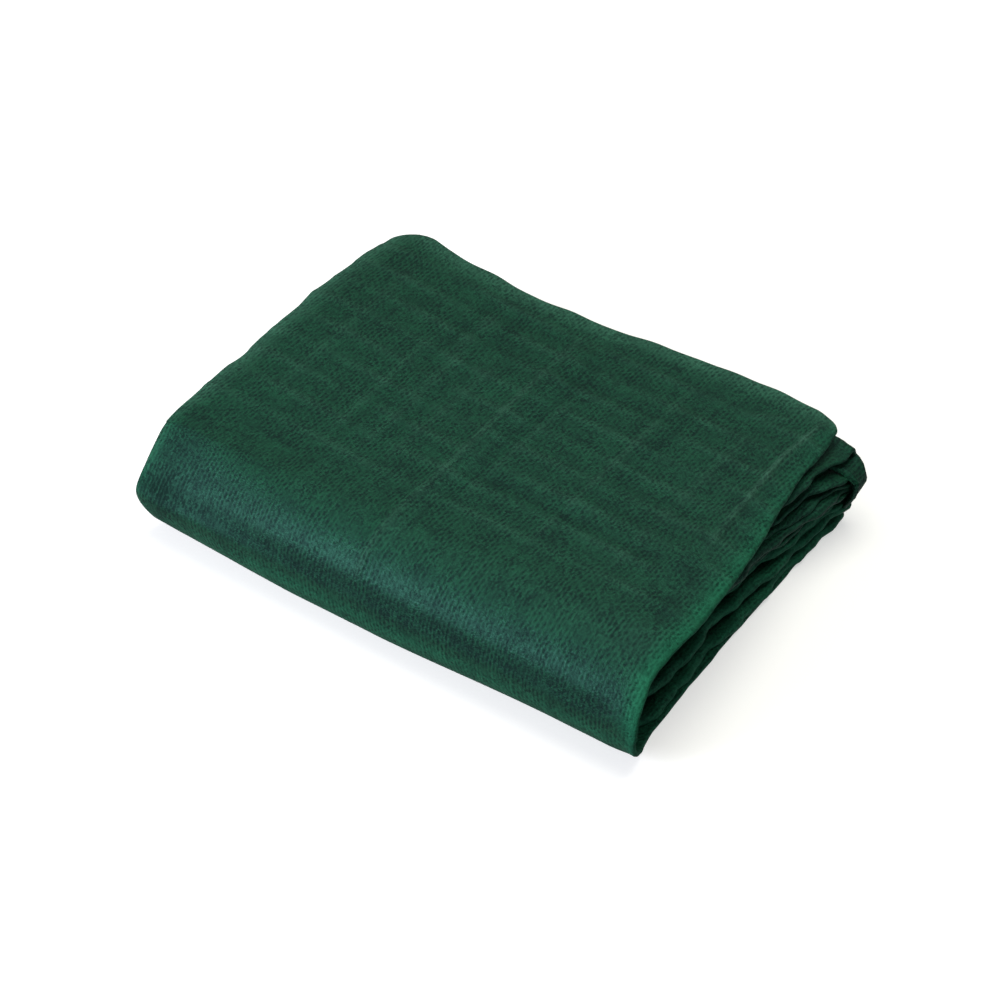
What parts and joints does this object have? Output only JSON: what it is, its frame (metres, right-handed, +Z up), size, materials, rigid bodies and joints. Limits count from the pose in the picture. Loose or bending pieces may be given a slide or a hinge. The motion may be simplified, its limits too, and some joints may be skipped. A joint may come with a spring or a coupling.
{
  "type": "folded olive harvesting net",
  "caption": "Dark green knitted harvesting net folded into a flat packet, with one round folded long side and layered, slightly crumpled open ends.",
  "frame": {"origin": "centre of the packet's bounding box, on the surface it lies on", "axes": "+X along the long side towards the open, rolled end; +Y from the round front fold to the back; +Z up"},
  "size_m": [0.426, 0.315, 0.086],
  "materials": {
    "net": "matte knitted polyethylene with a faint sheen"
  },
  "bodies": {
    "root": {"net": "net"}
  },
  "joints": []
}
